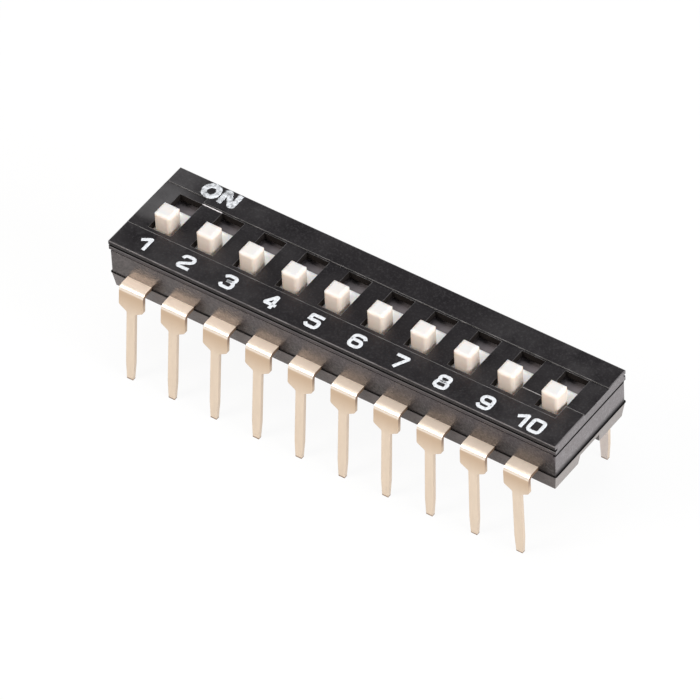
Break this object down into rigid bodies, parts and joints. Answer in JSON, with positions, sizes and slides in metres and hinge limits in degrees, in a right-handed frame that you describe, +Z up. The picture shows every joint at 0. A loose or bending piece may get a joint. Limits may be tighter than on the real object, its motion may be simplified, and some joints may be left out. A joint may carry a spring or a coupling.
{
  "type": "dip switch",
  "caption": "Slide-type dip switch in a black two-part housing: a row of white sliders in slots, and two rows of bent gold-coloured through-hole leads.",
  "frame": {"origin": "centre of the part in plan, at the level of the lead tips", "axes": "+X along the row from position 1 to position 10, +Y from the OFF side to the ON side, +Z up, out of the sliders' face"},
  "size_m": [0.0264, 0.0088, 0.0085],
  "materials": {
    "cover": "charcoal-black moulded plastic, semi-gloss",
    "base": "charcoal moulded plastic, satin",
    "slider": "warm white moulded plastic",
    "wiper": "gold-coloured spring leaf",
    "lead": "pale gold-plated sheet metal, satin"
  },
  "bodies": {
    "housing": {"cover": "cover", "base": "base", "lead_front_1": "lead", "lead_front_2": "lead", "lead_front_3": "lead", "lead_front_4": "lead", "lead_front_5": "lead", "lead_front_6": "lead", "lead_front_7": "lead", "lead_front_8": "lead", "lead_front_9": "lead", "lead_front_10": "lead", "lead_back_1": "lead", "lead_back_2": "lead", "lead_back_3": "lead", "lead_back_4": "lead", "lead_back_5": "lead", "lead_back_6": "lead", "lead_back_7": "lead", "lead_back_8": "lead", "lead_back_9": "lead", "lead_back_10": "lead"},
    "slider_1": {"slider_1": "slider", "wiper_1": "wiper"},
    "slider_2": {"slider_2": "slider", "wiper_2": "wiper"},
    "slider_3": {"slider_3": "slider", "wiper_3": "wiper"},
    "slider_4": {"slider_4": "slider", "wiper_4": "wiper"},
    "slider_5": {"slider_5": "slider", "wiper_5": "wiper"},
    "slider_6": {"slider_6": "slider", "wiper_6": "wiper"},
    "slider_7": {"slider_7": "slider", "wiper_7": "wiper"},
    "slider_8": {"slider_8": "slider", "wiper_8": "wiper"},
    "slider_9": {"slider_9": "slider", "wiper_9": "wiper"},
    "slider_10": {"slider_10": "slider", "wiper_10": "wiper"}
  },
  "joints": [
    {"name": "slider_1_slide", "type": "slide", "parent": "housing", "child": "slider_1", "axis": [0, 1, 0], "range_m": [0, 0.00128]},
    {"name": "slider_2_slide", "type": "slide", "parent": "housing", "child": "slider_2", "axis": [0, 1, 0], "range_m": [0, 0.00128]},
    {"name": "slider_3_slide", "type": "slide", "parent": "housing", "child": "slider_3", "axis": [0, 1, 0], "range_m": [0, 0.00128]},
    {"name": "slider_4_slide", "type": "slide", "parent": "housing", "child": "slider_4", "axis": [0, 1, 0], "range_m": [0, 0.00128]},
    {"name": "slider_5_slide", "type": "slide", "parent": "housing", "child": "slider_5", "axis": [0, 1, 0], "range_m": [0, 0.00128]},
    {"name": "slider_6_slide", "type": "slide", "parent": "housing", "child": "slider_6", "axis": [0, 1, 0], "range_m": [0, 0.00128]},
    {"name": "slider_7_slide", "type": "slide", "parent": "housing", "child": "slider_7", "axis": [0, 1, 0], "range_m": [0, 0.00128]},
    {"name": "slider_8_slide", "type": "slide", "parent": "housing", "child": "slider_8", "axis": [0, 1, 0], "range_m": [0, 0.00128]},
    {"name": "slider_9_slide", "type": "slide", "parent": "housing", "child": "slider_9", "axis": [0, 1, 0], "range_m": [0, 0.00128]},
    {"name": "slider_10_slide", "type": "slide", "parent": "housing", "child": "slider_10", "axis": [0, 1, 0], "range_m": [0, 0.00128]}
  ]
}
